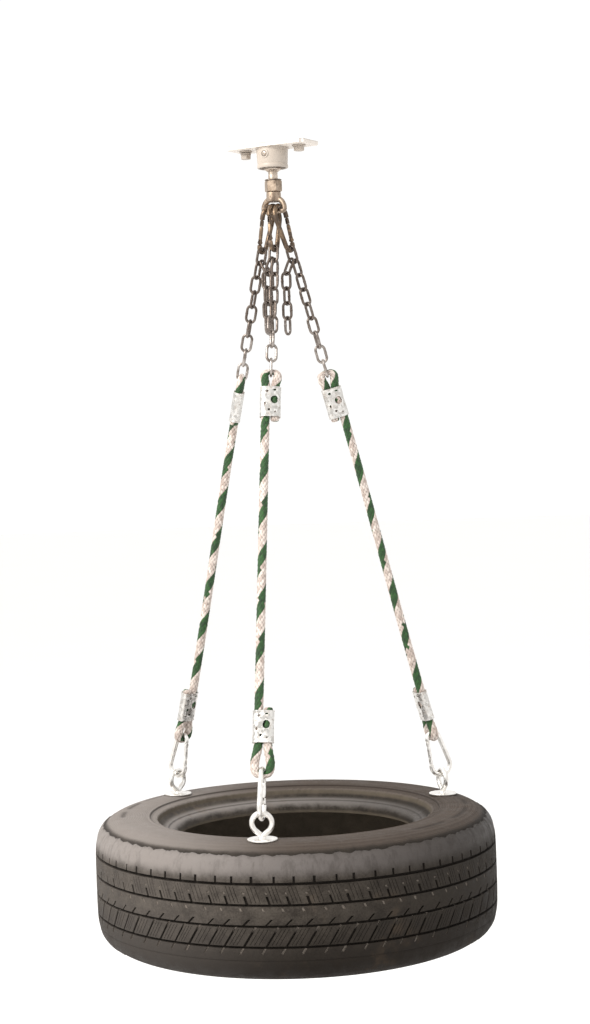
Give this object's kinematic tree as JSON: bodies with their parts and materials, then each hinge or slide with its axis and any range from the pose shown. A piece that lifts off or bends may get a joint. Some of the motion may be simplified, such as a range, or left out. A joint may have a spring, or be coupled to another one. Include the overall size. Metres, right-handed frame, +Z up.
{
  "type": "tire swing",
  "caption": "Tire laid flat and hung by chain-and-rope legs with spring hooks and eyebolts from a rocking, spinning ceiling swivel on a screwed plate.",
  "frame": {"origin": "centre of the mounting plate's top face, the face that is screwed up against the beam", "axes": "+Z up; X along the mounting plate's length; Y along the pivot pin"},
  "size_m": [0.635, 0.634, 1.251],
  "materials": {
    "cream_paint": "weathered cream paint",
    "dull_steel": "weathered zinc-plated steel",
    "bronzed_steel": "tarnished to bronze-brown",
    "bright_zinc": "bright zinc plating",
    "chain_steel": "worn zinc-plated chain",
    "clamp_zinc": "galvanised sheet",
    "rope_fibre": "green and white solid-braid rope",
    "tire_rubber": "weathered, dusty black rubber"
  },
  "bodies": {
    "bracket": {"mounting_plate": "cream_paint", "swivel_cup": "cream_paint", "pivot_pin": "dull_steel", "pin_clip": "dull_steel", "plate_screw_left": "dull_steel", "plate_screw_right": "dull_steel", "plate_washer_left": "dull_steel", "plate_washer_right": "dull_steel", "spring_washer_left": "dull_steel"},
    "rocker": {"rocker_block": "dull_steel", "lower_race": "dull_steel", "gland_bushing": "bronzed_steel"},
    "swivel": {"spindle": "bronzed_steel", "thrust_ball_ring": "dull_steel", "spindle_washer": "dull_steel", "spindle_lock_nut": "bronzed_steel", "swivel_eye": "bronzed_steel"},
    "hanger": {"tire": "tire_rubber", "front_upper_hook": "bronzed_steel", "front_chain": "chain_steel", "front_rope": "rope_fibre", "front_upper_clamp": "clamp_zinc", "front_lower_clamp": "clamp_zinc", "front_lower_hook": "bright_zinc", "front_eyebolt": "bright_zinc", "front_top_washer": "bright_zinc", "front_inner_washer": "bright_zinc", "front_nut": "bright_zinc", "right_upper_hook": "bronzed_steel", "right_chain": "chain_steel", "right_rope": "rope_fibre", "right_upper_clamp": "clamp_zinc", "right_lower_clamp": "clamp_zinc", "right_lower_hook": "bright_zinc", "right_eyebolt": "bright_zinc", "right_top_washer": "bright_zinc", "right_inner_washer": "bright_zinc", "right_nut": "bright_zinc", "left_upper_hook": "bronzed_steel", "left_chain": "chain_steel", "left_rope": "rope_fibre", "left_upper_clamp": "clamp_zinc", "left_lower_clamp": "clamp_zinc", "left_lower_hook": "bright_zinc", "left_eyebolt": "bright_zinc", "left_top_washer": "bright_zinc", "left_inner_washer": "bright_zinc", "left_nut": "bright_zinc"},
    "front_upper_gate_arm": {"front_upper_gate": "bronzed_steel"},
    "front_lower_gate_arm": {"front_lower_gate": "bright_zinc"},
    "front_spare_chain": {"front_chain_tail": "chain_steel"},
    "right_upper_gate_arm": {"right_upper_gate": "bronzed_steel"},
    "right_lower_gate_arm": {"right_lower_gate": "bright_zinc"},
    "right_spare_chain": {"right_chain_tail": "chain_steel"},
    "left_upper_gate_arm": {"left_upper_gate": "bronzed_steel"},
    "left_lower_gate_arm": {"left_lower_gate": "bright_zinc"},
    "left_spare_chain": {"left_chain_tail": "chain_steel"}
  },
  "joints": [
    {"name": "rocker_swing", "type": "hinge", "parent": "bracket", "child": "rocker", "pos_m": [0, 0, -0.0165], "axis": [0, 1, 0], "range_deg": [-18, 18]},
    {"name": "swivel_spin", "type": "hinge", "parent": "rocker", "child": "swivel", "pos_m": [0, 0, -0.028], "axis": [0, 0, 1], "continuous": true},
    {"name": "hanger_swing", "type": "hinge", "parent": "swivel", "child": "hanger", "pos_m": [0, 0, -0.105], "axis": [1, 0, 0], "range_deg": [-28, 28]},
    {"name": "front_upper_gate_open", "type": "hinge", "parent": "hanger", "child": "front_upper_gate_arm", "pos_m": [0.00504, -0.02319, -0.14923], "axis": [-0.9957, -0.0239, -0.0897], "range_deg": [0, 25], "stiffness_Nm_per_rad": 0.3},
    {"name": "front_lower_gate_open", "type": "hinge", "parent": "hanger", "child": "front_lower_gate_arm", "pos_m": [0.07973, -0.21898, -0.96629], "axis": [-0.9397, -0.342, 0.0005], "range_deg": [0, 25], "stiffness_Nm_per_rad": 0.3},
    {"name": "front_tail_swing", "type": "hinge", "parent": "hanger", "child": "front_spare_chain", "pos_m": [0.00224, -0.01978, -0.1858], "axis": [1, 0, 0], "range_deg": [-10, 10]},
    {"name": "right_upper_gate_open", "type": "hinge", "parent": "hanger", "child": "right_upper_gate_arm", "pos_m": [0.01732, 0.02101, -0.1498], "axis": [0.9861, -0.0353, 0.1622], "range_deg": [0, 25], "stiffness_Nm_per_rad": 0.3},
    {"name": "right_lower_gate_open", "type": "hinge", "parent": "hanger", "child": "right_lower_gate_arm", "pos_m": [0.15023, 0.1785, -0.96615], "axis": [0.766, -0.6428, -0.0078], "range_deg": [0, 25], "stiffness_Nm_per_rad": 0.3},
    {"name": "right_tail_swing", "type": "hinge", "parent": "hanger", "child": "right_spare_chain", "pos_m": [0.01658, 0.01618, -0.18609], "axis": [1, 0, 0], "range_deg": [-10, 10]},
    {"name": "left_upper_gate_open", "type": "hinge", "parent": "hanger", "child": "left_upper_gate_arm", "pos_m": [-0.02277, -0.00867, -0.15274], "axis": [-0.9659, -0.0127, 0.2586], "range_deg": [0, 25], "stiffness_Nm_per_rad": 0.3},
    {"name": "left_lower_gate_open", "type": "hinge", "parent": "hanger", "child": "left_lower_gate_arm", "pos_m": [-0.22995, 0.04046, -0.96605], "axis": [0.1736, 0.9848, 0.0019], "range_deg": [0, 25], "stiffness_Nm_per_rad": 0.3},
    {"name": "left_tail_swing", "type": "hinge", "parent": "hanger", "child": "left_spare_chain", "pos_m": [-0.02467, 0.00368, -0.1864], "axis": [1, 0, 0], "range_deg": [-10, 10]}
  ]
}
